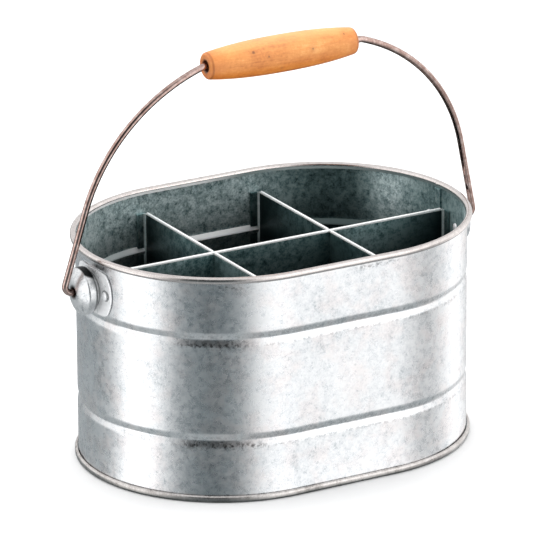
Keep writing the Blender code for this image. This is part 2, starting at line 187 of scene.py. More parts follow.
def filleted(corners, radii, steps):
    """A polyline with each inner corner rounded, sharing out the straight runs between bends."""
    runs = [math.dist(*pair) for pair in zip(corners, corners[1:])]
    bends = []
    for before, here, after, radius in zip(corners, corners[1:], corners[2:], radii):
        back = math.atan2(before[1] - here[1], before[0] - here[0])
        ahead = math.atan2(after[1] - here[1], after[0] - here[0])
        opening = (ahead - back + math.pi) % (2 * math.pi) - math.pi
        bends.append((back, opening, radius / abs(math.tan(opening / 2))))
    taken = [0] + [bend[2] for bend in bends] + [0]
    path = [corners[0]]
    for k, (back, opening, length) in enumerate(bends, 1):
        room = min(runs[k - 1] / (taken[k - 1] + length), runs[k] / (length + taken[k + 1]), 1)
        radius = radii[k - 1] * room
        reach = radius / abs(math.sin(opening / 2))
        middle = back + opening / 2
        x, y = corners[k]
        centre = (x + reach * math.cos(middle), y + reach * math.sin(middle))
        start = back - math.copysign(math.pi / 2, opening)
        turn = opening - math.copysign(math.pi, opening)
        path += arc(centre, radius, start, start + turn, steps[k - 1])
    return path + [corners[-1]]


def smooth(mesh, angle):
    """Smooth shading, apart from edges that turn by more than angle."""
    mesh.shade_smooth()
    mesh.set_sharp_from_angle(angle=math.radians(angle))


def add_mesh(name, bm, materials, angle=35):
    bmesh.ops.recalc_face_normals(bm, faces=bm.faces)
    mesh = bpy.data.meshes.new(name)
    bm.to_mesh(mesh)
    bm.free()
    obj = bpy.data.objects.new(name, mesh)
    bpy.context.scene.collection.objects.link(obj)
    for material in materials:
        mesh.materials.append(material)
    smooth(mesh, angle)
    return obj


def thicken(obj, thickness):
    sheet = obj.modifiers.new("sheet", "SOLIDIFY")
    sheet.thickness = thickness
    sheet.offset = 0
    sheet.use_even_offset = True


def round_edges(obj, width, angle):
    bevel = obj.modifiers.new("rounding", "BEVEL")
    bevel.width = width
    bevel.segments = 2
    bevel.limit_method = "ANGLE"
    bevel.angle_limit = math.radians(angle)


def apply_modifiers(obj, angle=35):
    graph = bpy.context.evaluated_depsgraph_get()
    mesh = bpy.data.meshes.new_from_object(obj.evaluated_get(graph))
    obj.modifiers.clear()
    obj.data = mesh
    smooth(mesh, angle)


def skin(bm, rows, closed_rows, closed_across=False):
    """Quads between rows of points that all have the same count."""
    grid = [[bm.verts.new(point) for point in row] for row in rows]
    pairs = list(zip(grid, grid[1:] + grid[:1] if closed_rows else grid[1:]))
    for low, high in pairs:
        shifted = zip(low, low[1:] + low[:1], high, high[1:] + high[:1])
        quads = list(shifted) if closed_across else list(shifted)[:-1]
        for a, b, c, d in quads:
            bm.faces.new((a, b, d, c))
    return grid


def stations(extra=()):
    """Places round the plan outline as (centre x, turn), from the front left corner."""
    turns = [math.pi * (k / ARC_STEPS - 0.5) for k in range(ARC_STEPS + 1)]
    right = sorted(set(turns + list(extra)))
    front = [(HALF_STRAIGHT * (2 * k / LINE_STEPS - 1), -math.pi / 2) for k in range(LINE_STEPS)]
    back = [(-x, math.pi / 2) for x, _ in front]
    right_end = [(HALF_STRAIGHT, turn) for turn in right]
    left_end = [(-HALF_STRAIGHT, turn + math.pi) for turn in turns]
    return front + right_end + back[1:] + left_end


def on_wall(station, offset, height):
    """A point at a station, so far outside the body's side and at that height."""
    centre, turn = station
    radius = WALL_RADIUS + offset
    return (centre + radius * math.cos(turn), radius * math.sin(turn), height)


def sweep_oval(profile, extra=(), shape=None):
    """A sheet's middle surface, swept round the body. shape moves an offset at a station."""
    bm = bmesh.new()
    rows = [
        [on_wall(place, shape(place, d, z) if shape else d, z) for d, z in profile]
        for place in stations(extra)
    ]
    skin(bm, rows, closed_rows=True)
    bmesh.ops.remove_doubles(bm, verts=bm.verts, dist=MERGE)
    return bm


def turned(profile, steps, closed):
    """A profile of (radius, height) points turned round Z, as a bmesh."""
    bm = bmesh.new()
    turns = [2 * math.pi * k / steps for k in range(steps)]
    rows = [[(r * math.cos(a), r * math.sin(a), z) for a in turns] for r, z in profile]
    skin(bm, rows, closed_rows=closed, closed_across=True)
    bmesh.ops.remove_doubles(bm, verts=bm.verts, dist=MERGE)
    return bm


def wire(points, radius, sides, dome_steps=0, closed=False):
    """A round wire along points, with domed ends where dome_steps is given."""
    places = [Vector(point) for point in points]
    count = len(places)
    along = []
    for k in range(count):
        before = places[k - 1] if closed or k else places[k]
        after = places[(k + 1) % count] if closed or k < count - 1 else places[k]
        along.append((after - before).normalized())
    side = along[0].orthogonal().normalized()
    turns = [2 * math.pi * j / sides for j in range(sides)]
    circles = []
    for k, (place, tangent) in enumerate(zip(places, along)):
        side = (side - tangent * side.dot(tangent)).normalized()
        up = tangent.cross(side)
        rings = [(1.0, 0.0)]
        if dome_steps and not closed and k in (0, count - 1):
            rises = [math.pi / 2 * j / dome_steps for j in range(dome_steps, 0, -1)]
            sign = -1 if k == 0 else 1
            dome = [(math.cos(a), sign * math.sin(a)) for a in rises]
            rings = dome + rings if k == 0 else rings + dome[::-1]
        for share, push in rings:
            middle = place + tangent * (radius * push * DOME_FLATNESS)
            reach = radius * max(share, DOME_TIP)
            circle = [middle + (side * math.cos(t) + up * math.sin(t)) * reach for t in turns]
            circles.append(circle)
    bm = bmesh.new()
    grid = skin(bm, circles, closed_rows=closed, closed_across=True)
    if not closed:
        bm.faces.new(grid[0])
        bm.faces.new(grid[-1])
    return bm


def ring_round_wall(offset, height, radius, sides):
    """A closed wire round the body, so far outside its side."""
    points = [on_wall(place, offset, height) for place in stations()]
    kept = [p for k, p in enumerate(points) if math.dist(p, points[k - 1]) > MERGE]
    return wire(kept, radius, sides, closed=True)


# Materials


def feed(tree, socket, value):
    """Links a socket to another node's output, or sets its value."""
    if isinstance(value, bpy.types.NodeSocket):
        tree.links.new(value, socket)
    else:
        socket.default_value = value


def node(tree, kind, inputs=None, **settings):
    made = tree.nodes.new("ShaderNode" + kind)
    for key, value in settings.items():
        setattr(made, key, value)
    for key, value in (inputs or {}).items():
        feed(tree, made.inputs[key], value)
    return made


def new_material(name):
    material = bpy.data.materials.new(name)
    material.use_nodes = True
    tree = material.node_tree
    return material, tree, tree.nodes["Principled BSDF"]


def math_node(tree, operation, first, second=0.0):
    return node(tree, "Math", {0: first, 1: second}, operation=operation).outputs[0]


def add(tree, first, second):
    return math_node(tree, "ADD", first, second)


def times(tree, first, second):
    return math_node(tree, "MULTIPLY", first, second)


def distance(tree, value, centre):
    """How far a value lies from centre, either way."""
    return math_node(tree, "ABSOLUTE", math_node(tree, "SUBTRACT", value, centre))


def flat_length(tree, first, second):
    """The length of a vector that has only these two coordinates."""
    flat = node(tree, "CombineXYZ", {0: first, 1: second}).outputs[0]
    return node(tree, "VectorMath", {0: flat}, operation="LENGTH").outputs["Value"]


def noise(tree, place, scale, detail=2.0, roughness=0.5, distortion=0.0):
    inputs = {
        "Vector": place,
        "Scale": scale,
        "Detail": detail,
        "Roughness": roughness,
        "Distortion": distortion,
    }
    return node(tree, "TexNoise", inputs).outputs["Fac"]


def remap(tree, value, low, high, new_low=0.0, new_high=1.0):
    inputs = {
        "Value": value,
        "From Min": low,
        "From Max": high,
        "To Min": new_low,
        "To Max": new_high,
    }
    return node(tree, "MapRange", inputs).outputs["Result"]


def ramp(tree, value, stops):
    made = node(tree, "ValToRGB", {"Fac": value})
    elements = made.color_ramp.elements
    while len(elements) < len(stops):
        elements.new(0.5)
    for element, (position, colour) in zip(elements, stops):
        element.position = position
        element.color = (*colour, 1.0)
    return made.outputs["Color"]


def blend(tree, factor, first, second, mode="MIX"):
    """A mix of two colours. The second may be a plain (red, green, blue)."""
    made = node(tree, "Mix", data_type="RGBA", blend_type=mode)
    if isinstance(second, tuple):
        second = (*second, 1.0)
    for index, value in ((0, factor), (6, first), (7, second)):
        feed(tree, made.inputs[index], value)
    return made.outputs[2]


def bump(tree, strength, depth, height, normal=None):
    inputs = {"Strength": strength, "Distance": depth, "Height": height}
    if normal is not None:
        inputs["Normal"] = normal
    return node(tree, "Bump", inputs).outputs[0]


def painted_light_ramp(tree, value, stops):
    """Painted light and shade as a factor that follows a coordinate in metres, cooler where it is
    low. Its stops may pass 1, so the ramp runs at half and is doubled after."""
    low, high = stops[0][0], stops[-1][0]
    placed = []
    for x, factor in stops:
        red = factor * (0.72 + 0.28 * min(factor, 1.0))
        placed.append(((x - low) / (high - low), (red / 2, factor / 2, factor / 2)))
    halved = ramp(tree, remap(tree, value, low, high), placed)
    return blend(tree, 1.0, halved, (2.0, 2.0, 2.0), "MULTIPLY")


def zinc_textures(tree, place, crystal):
    """The crystals' own tones, a fine grain, small clouds and wide patches."""
    shift = node(tree, "TexNoise", {"Vector": place, "Scale": 210.0, "Detail": 2.0})
    inputs = {0: shift.outputs["Color"], 1: (0.5, 0.5, 0.5)}
    centred = node(tree, "VectorMath", inputs, operation="SUBTRACT").outputs[0]
    scaled = node(tree, "VectorMath", {0: centred, "Scale": 0.004}, operation="SCALE").outputs[0]
    warped = node(tree, "VectorMath", {0: place, 1: scaled}, operation="ADD").outputs[0]
    cells = node(tree, "TexVoronoi", {"Vector": warped, "Scale": crystal})
    tone = node(tree, "SeparateColor", {0: cells.outputs["Color"]}).outputs[0]
    grain = noise(tree, place, 900.0, 3.0, 0.65)
    cloud = noise(tree, place, 250.0, 5.0, 0.65)
    patch = noise(tree, place, 24.0, 3.0, 0.55)
    return tone, grain, cloud, patch


def paint_low_shade(tree, colour, z, patch, low, high, share):
    """Painted shade that deepens downwards from high to low, and thins again far below."""
    sway = (high - low) / 8
    uneven = add(tree, z, remap(tree, patch, 0.3, 0.7, -sway, sway))
    shade_share = remap(tree, uneven, low, high, share, 0.0)
    shade_share = times(tree, shade_share, remap(tree, z, low * 0.35, low * 0.8, 0.6, 1.0))
    return blend(tree, shade_share, colour, PAINTED_SHADE_COLOUR)


def paint_end_shade(tree, colour, x, y, share):
    """Painted shade that deepens towards the wall, in the corners, and stops short of it."""
    beyond = math_node(tree, "SUBTRACT", math_node(tree, "ABSOLUTE", x), HALF_STRAIGHT)
    reach = flat_length(tree, math_node(tree, "MAXIMUM", beyond, 0.0), y)
    near = remap(tree, reach, 0.036, 0.078, 0.0, share)
    near = times(tree, near, remap(tree, reach, 0.0828, 0.0816))
    return blend(tree, near, colour, PAINTED_SHADE_COLOUR)


def paint_ear_light(tree, colour, out, y, z):
    """An ear's painted light and shade, with out as the distance from the body's middle: painted
    light on the plate behind the cap, painted shade in lines at the neck's foot and round the rivets
    and under the cap's edge, a painted dark reflection on top of the cap, and painted shade in the
    eye."""
    # Painted light on the plate behind the cap
    pale = remap(tree, out, EAR_NECK_FOOT, EAR_UNDER, 0.8, 0.5)
    pale = times(tree, pale, remap(tree, out, EAR_UNDER + 0.0004, EAR_UNDER - 0.0004))
    colour = blend(tree, pale, colour, (0.96, 0.97, 0.98))
    height = math_node(tree, "SUBTRACT", z, EAR_HEIGHT)
    from_eye = flat_length(tree, y, height)
    aside = math_node(tree, "SUBTRACT", math_node(tree, "ABSOLUTE", y), RIVET_SPACING / 2)
    from_rivet = flat_length(tree, aside, height)
    # Painted shade in thin lines at the neck's foot and round the rivets' heads
    lines = ((from_eye, EAR_NECK_RADIUS + 0.0004), (from_rivet, RIVET_HEAD_RADIUS + 0.0002))
    for away, radius in lines:
        line = remap(tree, distance(tree, away, radius), 0.0006, 0.0001, 0.0, 0.75)
        line = times(tree, line, remap(tree, out, EAR_UNDER, EAR_UNDER - 0.0008))
        colour = blend(tree, line, colour, (0.10, 0.11, 0.115))
    # Painted shade under the cap's edge
    under = remap(tree, distance(tree, out, EAR_UNDER), 0.0012, 0.0003)
    colour = blend(tree, times(tree, under, 0.9), colour, (0.05, 0.06, 0.065))
    # A painted dark reflection on top of the cap
    slant = times(tree, math_node(tree, "SUBTRACT", out, EAR_NECK_FOOT), -0.36)
    top = remap(tree, add(tree, z, slant), EAR_HEIGHT + 0.0084, EAR_HEIGHT + 0.0094)
    top = times(tree, top, remap(tree, out, EAR_NECK_FOOT, EAR_NECK_FOOT + 0.0008))
    top = times(tree, top, remap(tree, out, EAR_FRONT - 0.0002, EAR_FRONT - 0.0008))
    colour = blend(tree, top, colour, (0.008, 0.010, 0.011))
    # Painted shade in the eye round the wire
    eye = remap(tree, from_eye, EYE_RADIUS + 0.0018, EYE_RADIUS + 0.0002)
    eye = times(tree, eye, remap(tree, out, EAR_UNDER, EAR_UNDER + 0.0010))
    return blend(tree, eye, colour, (0.035, 0.026, 0.022))


def rub_marks(tree, colour, place, x, y, z, scuffs):
    """Dark marks rubbed on the front, each as (height, reach, start, end, amount)."""
    marks = noise(tree, place, 520.0, 2.0, 0.6)
    for height, reach, start, end, amount in scuffs:
        band = remap(tree, distance(tree, z, height), reach, 0.0)
        band = times(tree, band, remap(tree, x, start, start + SCUFF_FADE))
        band = times(tree, band, remap(tree, x, end, end - SCUFF_FADE))
        band = times(tree, band, remap(tree, y, 0.0, -0.02))
        rubbed = times(tree, band, remap(tree, marks, 0.46, 0.60, 0.0, amount))
        colour = blend(tree, rubbed, colour, (0.07, 0.064, 0.064))
    return colour


def galvanised(
    name,
    light,
    middle,
    dark,
    rough=(0.22, 0.36),
    crystal=330.0,
    wave=0.0003,
    texture=0.35,
    spread=(0.46, 0.92),
    metallic=1.0,
    matt=None,
    warmth=0.0,
    painted_light=None,
    low_shade=None,
    end_shade=None,
    on_ear=False,
    scuffs=(),
):
    """Hot-dip zinc: fine crystals that differ in tone and gloss, soft patches, a few specks.

    light, middle and dark are its colours, laid over the range spread of the mixed textures.
    rough is the range of its roughness, crystal the scale of the crystals, wave the depth of
    the sheet's waves and texture the strength of the fine grain. matt is (start, end, lowest):
    from start to end along the length the metallic share falls to lowest. warmth is the
    strength of a warm tint in patches, and painted_light is painted light and shade along the
    length. low_shade is (low, high, share) for paint_low_shade, end_shade the share for
    paint_end_shade, on_ear adds paint_ear_light, and scuffs are rub_marks."""
    material, tree, shader = new_material(name)
    place = node(tree, "TexCoord").outputs["Object"]
    tone, grain, cloud, patch = zinc_textures(tree, place, crystal)
    mixed = times(tree, tone, 0.06)
    for value, share in ((grain, 0.42), (cloud, 0.62), (patch, 0.34)):
        mixed = add(tree, mixed, times(tree, value, share))
    level = remap(tree, mixed, *spread)
    colour = ramp(tree, level, [(0.0, dark), (0.42, middle), (0.80, light)])
    specks = remap(tree, noise(tree, place, 420.0, 2.0, 0.6), 0.64, 0.74)
    specks = times(tree, specks, remap(tree, patch, 0.42, 0.62))
    colour = blend(tree, times(tree, specks, 0.45), colour, dark)
    x, y, z = node(tree, "SeparateXYZ", {0: place}).outputs
    if warmth:
        warm = remap(tree, noise(tree, place, 60.0, 4.0, 0.6), 0.46, 0.62)
        colour = blend(tree, times(tree, warm, warmth), colour, (1.0, 0.93, 0.91), "MULTIPLY")
    # Painted light and shade along the length
    if painted_light:
        colour = blend(tree, 1.0, colour, painted_light_ramp(tree, x, painted_light), "MULTIPLY")
    # Painted shade that deepens downwards
    if low_shade:
        colour = paint_low_shade(tree, colour, z, patch, *low_shade)
    # Painted shade towards the wall
    if end_shade:
        colour = paint_end_shade(tree, colour, x, y, end_shade)
    bare = metallic
    # The ears' painted light and shade
    if on_ear:
        out = math_node(tree, "ABSOLUTE", x)
        colour = paint_ear_light(tree, colour, out, y, z)
        bare = remap(tree, out, EAR_UNDER - 0.0008, EAR_UNDER + 0.0004, 0.30, metallic)
    elif matt:
        start, end, lowest = matt
        bare = remap(tree, x, start, end, metallic, lowest)
    if scuffs:
        colour = rub_marks(tree, colour, place, x, y, z, scuffs)
    tree.links.new(colour, shader.inputs["Base Color"])
    feed(tree, shader.inputs["Metallic"], bare)
    gloss = add(tree, times(tree, tone, 0.25), times(tree, cloud, 0.75))
    tree.links.new(remap(tree, gloss, 0.2, 0.8, *rough), shader.inputs["Roughness"])
    waves = bump(tree, 0.5, wave, noise(tree, place, 30.0, 1.0))
    fine = bump(tree, texture, 0.00004, add(tree, grain, tone), waves)
    tree.links.new(fine, shader.inputs["Normal"])
    return material


def drawn_wire():
    """Drawn steel wire with a warm thin plating, fine lines and small dull marks."""
    material, tree, shader = new_material("drawn_wire")
    place = node(tree, "TexCoord").outputs["Object"]
    marks = noise(tree, place, 240.0, 4.0, 0.6)
    lines = noise(tree, place, 600.0, 2.0, 0.6)
    level = add(tree, times(tree, marks, 0.7), times(tree, lines, 0.3))
    colour = ramp(
        tree,
        remap(tree, level, 0.3, 0.7),
        [(0.0, (0.28, 0.17, 0.145)), (0.5, (0.49, 0.345, 0.305)), (1.0, (0.74, 0.60, 0.56))],
    )
    tree.links.new(colour, shader.inputs["Base Color"])
    shader.inputs["Metallic"].default_value = 1.0
    tree.links.new(remap(tree, marks, 0.3, 0.7, 0.05, 0.12), shader.inputs["Roughness"])
    tree.links.new(bump(tree, 0.2, 0.00002, lines), shader.inputs["Normal"])
    return material


def turned_wood(centre, axis_rows):
    """Lacquered orange softwood with grain along the grip, soft rings and a few small knots, and
    painted shade under the grip and in its bore's mouth, with painted light on its top.
    """
    material, tree, shader = new_material("turned_wood")
    place = node(tree, "TexCoord").outputs["Object"]
    local = node(tree, "VectorMath", {0: place, 1: centre}, operation="SUBTRACT").outputs[0]
    along, across, up = [
        node(tree, "VectorMath", {0: local, 1: row}, operation="DOT_PRODUCT").outputs["Value"]
        for row in axis_rows
    ]
    shortened = times(tree, along, 0.10)
    stretched = node(tree, "CombineXYZ", {0: shortened, 1: across, 2: up}).outputs[0]
    local = node(tree, "CombineXYZ", {0: along, 1: across, 2: up}).outputs[0]
    rings = noise(tree, stretched, 260.0, 3.0, 0.55, 0.2)
    fibres = noise(tree, stretched, 1500.0, 3.0, 0.6)
    cloud = noise(tree, local, 70.0, 3.0, 0.5)
    pores = noise(tree, local, 620.0, 4.0, 0.65)
    level = times(tree, rings, 0.30)
    for value, share in ((cloud, 0.30), (fibres, 0.15), (pores, 0.25)):
        level = add(tree, level, times(tree, value, share))
    colour = ramp(tree, remap(tree, level, 0.38, 0.62), WOOD_TONES)
    # Painted shade on the grip's underside as a deeper orange, painted light on its top as a paler
    # colour
    upward = remap(tree, up, -GRIP_RADIUS, GRIP_RADIUS)
    colour = blend(tree, remap(tree, upward, 0.60, 0.15), colour, (1.0, 0.82, 0.50), "MULTIPLY")
    colour = blend(tree, remap(tree, upward, 0.75, 1.0, 0.0, 0.35), colour, (0.88, 0.52, 0.25))
    warp = times(tree, noise(tree, local, 500.0, 2.0), 0.0010)
    for spot, size in KNOTS:
        away = node(tree, "VectorMath", {0: local, 1: spot}, operation="DISTANCE")
        away = add(tree, away.outputs["Value"], warp)
        halo = remap(tree, away, size, size * 4.5, 0.40, 0.0)
        colour = blend(tree, halo, colour, (0.50, 0.16, 0.035))
        core = remap(tree, away, size * 0.9, size * 1.7, 0.8, 0.0)
        colour = blend(tree, core, colour, (0.17, 0.055, 0.018))
    end = GRIP_LENGTH / 2
    beyond = math_node(tree, "ABSOLUTE", along)
    burnt = remap(tree, beyond, end - 0.0120, end - 0.0010, 0.0, 0.45)
    colour = blend(tree, burnt, colour, (0.55, 0.150, 0.026))
    edge = remap(tree, distance(tree, beyond, end - 0.0011), 0.0009, 0.0002, 0.0, 0.6)
    colour = blend(tree, edge, colour, (0.30, 0.085, 0.022))
    # Painted shade in the bore's mouth round the wire
    mouth = remap(tree, flat_length(tree, across, up), 0.0046, 0.0034, 0.0, 0.9)
    colour = blend(tree, mouth, colour, (0.07, 0.022, 0.010))
    tree.links.new(colour, shader.inputs["Base Color"])
    tree.links.new(remap(tree, rings, 0.3, 0.7, 0.36, 0.50), shader.inputs["Roughness"])
    shader.inputs["Coat Weight"].default_value = 0.25
    shader.inputs["Coat Roughness"].default_value = 0.25
    relief = add(tree, rings, times(tree, fibres, 0.6))
    tree.links.new(bump(tree, 0.25, 0.00012, relief), shader.inputs["Normal"])
    return material


# Rub marks under and over the grooves and under the rim, as (height, reach, start, end, amount)
SCUFFS = (
    (LOWER_GROOVE - GROOVE_WIDTH * 0.42, 0.0030, -0.100, -0.048, 0.90),
    (UPPER_GROOVE - GROOVE_WIDTH * 0.42, 0.0030, -0.100, -0.056, 0.90),
    (LOWER_GROOVE - GROOVE_WIDTH * 0.50, 0.0016, -0.060, 0.118, 0.35),
    (UPPER_GROOVE - GROOVE_WIDTH * 0.50, 0.0016, -0.060, 0.118, 0.35),
    (LOWER_GROOVE + GROOVE_WIDTH * 0.20, 0.0020, -0.100, 0.118, 0.30),
    (UPPER_GROOVE + GROOVE_WIDTH * 0.20, 0.0020, -0.100, 0.118, 0.30),
    (BODY_HEIGHT - 0.0066, 0.0022, -0.085, -0.055, 0.60),
    (BODY_HEIGHT - 0.0062, 0.0020, 0.000, 0.040, 0.60),
)

# Painted light and shade: lighter and darker areas along the length, as (x, factor)
INSIDE_PAINTED_LIGHT = (
    (-0.118, 0.75), (-0.085, 1.15), (-0.055, 1.05), (0.035, 1.00),
    (0.050, 0.74), (0.064, 0.44), (0.075, 0.30), (0.090, 0.36),
    (0.097, 0.66), (0.103, 1.12), (0.108, 1.12), (0.1125, 0.66),
    (0.118, 0.34),
)
DIVIDER_PAINTED_LIGHT = (
    (-0.118, 0.72), (-0.062, 1.10), (-0.0415, 0.95), (-0.0385, 0.92),
    (-0.0355, 0.82), (0.010, 0.78), (0.030, 0.52), (0.0375, 0.42),
    (0.0390, 0.46), (0.055, 1.45), (0.075, 1.25), (0.095, 0.85),
    (0.118, 0.50),
)
BEAD_PAINTED_LIGHT = (
    (-0.118, 0.25), (-0.090, 0.40), (-0.055, 0.75), (-0.046, 1.00),
    (0.036, 1.00), (0.040, 0.25), (0.118, 0.16),
)
LIP_PAINTED_LIGHT = (
    (-0.118, 0.70), (-0.100, 1.00), (0.000, 1.00), (0.030, 0.30),
    (0.060, 0.50), (0.118, 0.25),
)

ZINC_OUT = galvanised(
    "zinc_outside",
    (0.91, 0.92, 0.93),
    (0.77, 0.79, 0.81),
    (0.50, 0.54, 0.56),
    wave=0.00018,
    spread=(0.505, 0.875),
    warmth=0.65,
    scuffs=SCUFFS,
)
# The inside: a darker, bluer copy of the outside's zinc as painted shade, with painted light and
# shade along the length and more painted shade low down
ZINC_INSIDE_SHADED = galvanised(
    "zinc_inside_shaded",
    (0.79, 0.91, 0.91),
    (0.43, 0.56, 0.57),
    (0.09, 0.16, 0.17),
    rough=(0.32, 0.50),
    spread=(0.57, 0.89),
    metallic=0.7,
    matt=(0.092, 0.102, 0.15),
    painted_light=INSIDE_PAINTED_LIGHT,
    low_shade=(0.090, 0.120, 0.90),
)
ZINC_RIM = galvanised(
    "zinc_rim",
    (0.76, 0.71, 0.69),
    (0.67, 0.62, 0.60),
    (0.54, 0.49, 0.48),
    rough=(0.18, 0.28),
    crystal=500.0,
    wave=0.0,
    texture=0.10,
)
# A painted highlight on the grooves' beads inside: pale and nearly non-metallic, brighter or darker
# along the length
ZINC_BEAD_HIGHLIGHT = galvanised(
    "zinc_bead_highlight",
    (0.98, 0.99, 0.99),
    (0.95, 0.97, 0.97),
    (0.82, 0.85, 0.85),
    rough=(0.26, 0.36),
    texture=0.15,
    metallic=0.1,
    painted_light=BEAD_PAINTED_LIGHT,
)
# A painted highlight along the lip inside under the curl: pale and nearly non-metallic, brighter or
# darker along the length
ZINC_LIP_HIGHLIGHT = galvanised(
    "zinc_lip_highlight",
    (0.98, 0.99, 0.99),
    (0.95, 0.96, 0.96),
    (0.82, 0.84, 0.84),
    rough=(0.26, 0.36),
    texture=0.15,
    metallic=0.05,
    painted_light=LIP_PAINTED_LIGHT,
)
# The bottom: painted shade darkens its seam's lower edge just above the floor
ZINC_BASE = galvanised(
    "zinc_base",
    (0.74, 0.71, 0.69),
    (0.54, 0.51, 0.49),
    (0.26, 0.24, 0.23),
    rough=(0.24, 0.38),
    low_shade=(0.0005, 0.0028, 0.90),
)
# The dividers: a still darker, bluer copy of the zinc as painted shade, with painted light and shade
# along the length, more painted shade low down and towards the wall
ZINC_DIVIDER_SHADED = galvanised(
    "zinc_divider_shaded",
    (0.56, 0.74, 0.75),
    (0.28, 0.44, 0.45),
    (0.07, 0.16, 0.17),
    rough=(0.26, 0.42),
    spread=(0.55, 0.87),
    metallic=0.8,
    painted_light=DIVIDER_PAINTED_LIGHT,
    low_shade=(0.094, 0.122, 0.93),
    end_shade=0.92,
)
# The dividers' folds: paler and less metallic than their sheet as a painted highlight, with painted
# shade low down
ZINC_BEND_PAINTED = galvanised(
    "zinc_bend_painted",
    (0.80, 0.88, 0.88),
    (0.62, 0.71, 0.71),
    (0.40, 0.48, 0.48),
    rough=(0.30, 0.44),
    metallic=0.5,
    low_shade=(0.088, 0.102, 0.85),
)
# A painted highlight along the top of the dividers' hems: near white and less metallic
ZINC_EDGE_HIGHLIGHT = galvanised(
    "zinc_edge_highlight",
    (0.99, 0.99, 0.98),
    (0.95, 0.95, 0.94),
    (0.80, 0.80, 0.79),
    rough=(0.28, 0.42),
    crystal=500.0,
    wave=0.0,
    metallic=0.35,
)
# The ears and rivets, with the ears' painted light and shade
ZINC_EAR = galvanised(
    "zinc_ear",
    (0.80, 0.81, 0.82),
    (0.56, 0.58, 0.595),
    (0.30, 0.33, 0.35),
    rough=(0.24, 0.36),
    crystal=420.0,
    wave=0.0002,
    spread=(0.50, 0.86),
    metallic=0.85,
    on_ear=True,
)
DRAWN_WIRE = drawn_wire()


# Wall


def groove(height):
    """A groove rolled inwards: two straight flanks with rounded shoulders and a tight bottom."""
    half = GROOVE_WIDTH / 2
    corners = [(0, -half - 0.0012), (0, -half), (-GROOVE_DEPTH, 0), (0, half), (0, half + 0.0012)]
    path = filleted(corners, [0.0060, 0.0022, 0.0060], [8, 8, 8])
    return [(d - SHEET / 2, height + z) for d, z in path]


def wall_profile():
    """The wall's middle line as (offset, height): foot hook, grooves, lip and curl."""
    hook = HOOK_REACH - SHEET / 2
    low = SHEET + GAP + SHEET / 2 + SEAM_BEND
    outer_bend = arc((hook - SEAM_BEND, low), SEAM_BEND, 0, -math.pi / 2, 5)
    inner_bend = arc((SEAM_BEND - SHEET / 2, low), SEAM_BEND, -math.pi / 2, -math.pi, 5)
    curl_height = BODY_HEIGHT - CURL_RADIUS
    curl = arc((CURL_OFFSET, curl_height), CURL_RADIUS - SHEET / 2, math.pi, CURL_END, 30)
    return (
        [(hook, HOOK_HEIGHT)]
        + outer_bend
        + inner_bend
        + groove(LOWER_GROOVE)
        + groove(UPPER_GROOVE)
        + [(-SHEET / 2, curl_height - CURL_LEAD), (-SHEET / 2, curl_height - LIP_DEPTH)]
        + curl
    )


def wall_shape(place, offset, height):
    """Small irregularities: a scored line outside at the lock seam and its step in the curl."""
    centre, turn = place
    if centre < HALF_STRAIGHT or abs(turn) > 1:
        return offset
    away = (turn - LOCK_TURN) * WALL_RADIUS - LOCK_WIDTH / 2
    if height > BODY_HEIGHT - 2 * CURL_RADIUS:
        return offset - CURL_PINCH * math.exp(-((away / 0.0008) ** 2))
    return offset - SCORE_DEPTH * math.exp(-((away / 0.0004) ** 2))


def faces_inward(face):
    """Whether a face of the wall looks towards the body's middle line."""
    beyond = face.center.x - max(-HALF_STRAIGHT, min(HALF_STRAIGHT, face.center.x))
    return face.normal.dot(Vector((beyond, face.center.y, 0))) < 0


def build_wall():
    """The wall from its hooked foot to its curl, with close steps at the lock seam's score."""
    places = [LOCK_WIDTH / 2 + k * SCORE_STEP for k in range(-8, 9)]
    lock_turns = [LOCK_TURN + place / WALL_RADIUS for place in places]
    bm = sweep_oval(wall_profile(), lock_turns, wall_shape)
    wall = add_mesh("wall", bm, [ZINC_OUT, ZINC_INSIDE_SHADED, ZINC_RIM, ZINC_BEAD_HIGHLIGHT, ZINC_LIP_HIGHLIGHT])
    thicken(wall, SHEET)
    apply_modifiers(wall)
    for face in wall.data.polygons:
        inward = faces_inward(face)
        rolled = BODY_HEIGHT - (CURL_RADIUS if inward else 2 * CURL_RADIUS + GAP)
        if face.center.z > rolled:
            face.material_index = RIM
        # The lip's band and the beads' strips take painted highlights, the rest of the inside
        # painted shade
        elif inward and face.center.z > rolled - LIP_DEPTH:
            face.material_index = LIP
        elif inward:
            above = [face.center.z - height for height in (LOWER_GROOVE, UPPER_GROOVE)]
            on_bead = -BEAD_BELOW < min(above, key=abs) < BEAD_ABOVE
            face.material_index = BEAD if on_bead else INSIDE
    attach(wall, "carrier")
    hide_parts("wall_shell")


